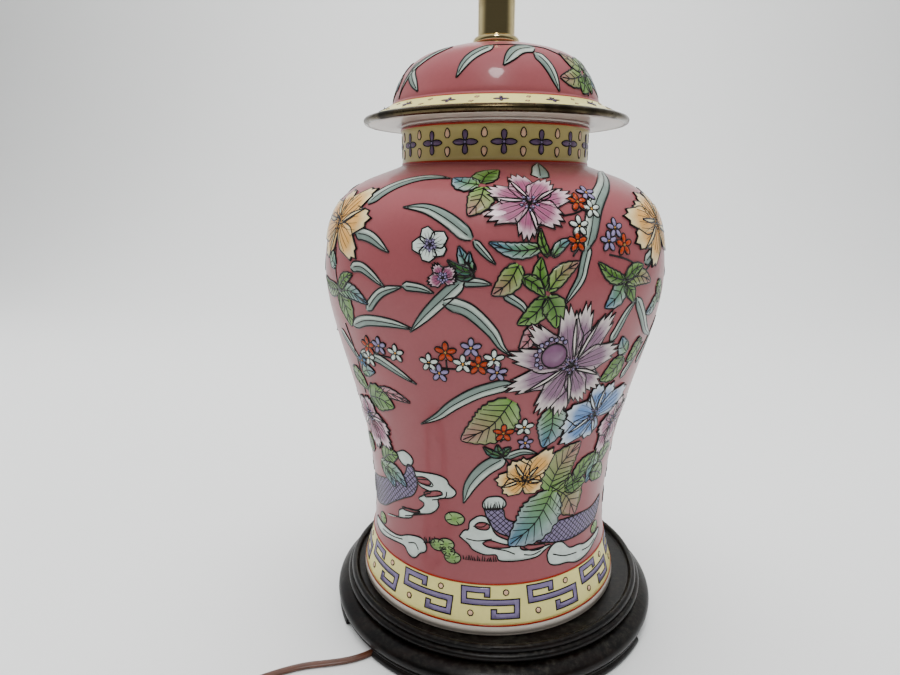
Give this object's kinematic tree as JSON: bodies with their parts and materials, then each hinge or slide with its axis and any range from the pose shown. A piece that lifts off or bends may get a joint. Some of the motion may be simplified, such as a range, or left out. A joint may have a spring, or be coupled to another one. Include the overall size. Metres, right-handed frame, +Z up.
{
  "type": "ginger jar table lamp base",
  "caption": "Covered porcelain jar on a round wood stand, drilled and wired as a table lamp, with brass neck, socket, harp, finial, cord and plug.",
  "frame": {"origin": "on the floor plane under the middle of the wood stand", "axes": "+Z up, -Y towards the front of the decoration and the switch key, +X to the right seen from the front"},
  "size_m": [0.3303, 0.3433, 0.7397],
  "materials": {
    "stand_wood": "dark stained, waxed, dusty in the hollows",
    "porcelain": "high-gloss glaze with raised enamel decoration and a gilt rim",
    "polished_brass": "polished, lightly tarnished",
    "lacquered_brass": "lacquered, satin to bright",
    "plated_steel": "zinc plated",
    "screw_shell_metal": "rolled, bright",
    "liner_card": "plain fibre",
    "moulded_black": "moulded, semi-matt",
    "clip_nylon": "natural nylon",
    "cord_vinyl": "brown vinyl, slight sheen",
    "blade_brass": "bright"
  },
  "bodies": {
    "root": {"stand_top": "stand_wood", "stand_base": "stand_wood", "stand_foot_1": "stand_wood", "stand_foot_2": "stand_wood", "stand_foot_3": "stand_wood", "stand_foot_4": "stand_wood", "stand_foot_5": "stand_wood", "stand_foot_6": "stand_wood", "jar_body": "porcelain", "lid": "porcelain", "vase_cap": "polished_brass", "neck_tube": "polished_brass", "neck_cap": "polished_brass", "socket_cap": "lacquered_brass", "socket_shell": "lacquered_brass", "harp_saddle": "lacquered_brass", "rim_contact": "lacquered_brass", "cap_set_screw": "lacquered_brass", "threaded_rod": "plated_steel", "base_washer": "plated_steel", "lock_washer": "plated_steel", "base_nut": "plated_steel", "rod_nut": "plated_steel", "clip_screw": "plated_steel", "centre_contact": "plated_steel", "screw_shell": "screw_shell_metal", "shell_liner": "liner_card", "socket_core": "moulded_black", "cord_clip": "clip_nylon", "lead_inside": "cord_vinyl", "cord_run": "cord_vinyl", "cord_coil": "cord_vinyl", "cord_tail": "cord_vinyl", "plug_body": "cord_vinyl", "plug_blade_1": "blade_brass", "plug_blade_2": "blade_brass"},
    "knob": {"switch_shaft": "plated_steel", "switch_knob": "moulded_black"},
    "harp": {"harp_wire": "lacquered_brass", "harp_plate": "lacquered_brass", "harp_stud": "lacquered_brass"},
    "sleeve_left": {"harp_sleeve_left": "lacquered_brass"},
    "sleeve_right": {"harp_sleeve_right": "lacquered_brass"},
    "finial": {"finial": "polished_brass"}
  },
  "joints": [
    {"name": "switch_turn", "type": "hinge", "parent": "root", "child": "knob", "pos_m": [-0.004, -0.03, 0.514], "axis": [0, -1, 0], "continuous": true},
    {"name": "harp_lift", "type": "slide", "parent": "root", "child": "harp", "axis": [0, 0, 1], "range_m": [0, 0.08]},
    {"name": "sleeve_left_lift", "type": "slide", "parent": "harp", "child": "sleeve_left", "axis": [0, 0, 1], "range_m": [0, 0.012]},
    {"name": "sleeve_right_lift", "type": "slide", "parent": "harp", "child": "sleeve_right", "axis": [0, 0, 1], "range_m": [0, 0.012]},
    {"name": "finial_off", "type": "slide", "parent": "harp", "child": "finial", "axis": [0, 0, 1], "range_m": [0, 0.03]}
  ]
}
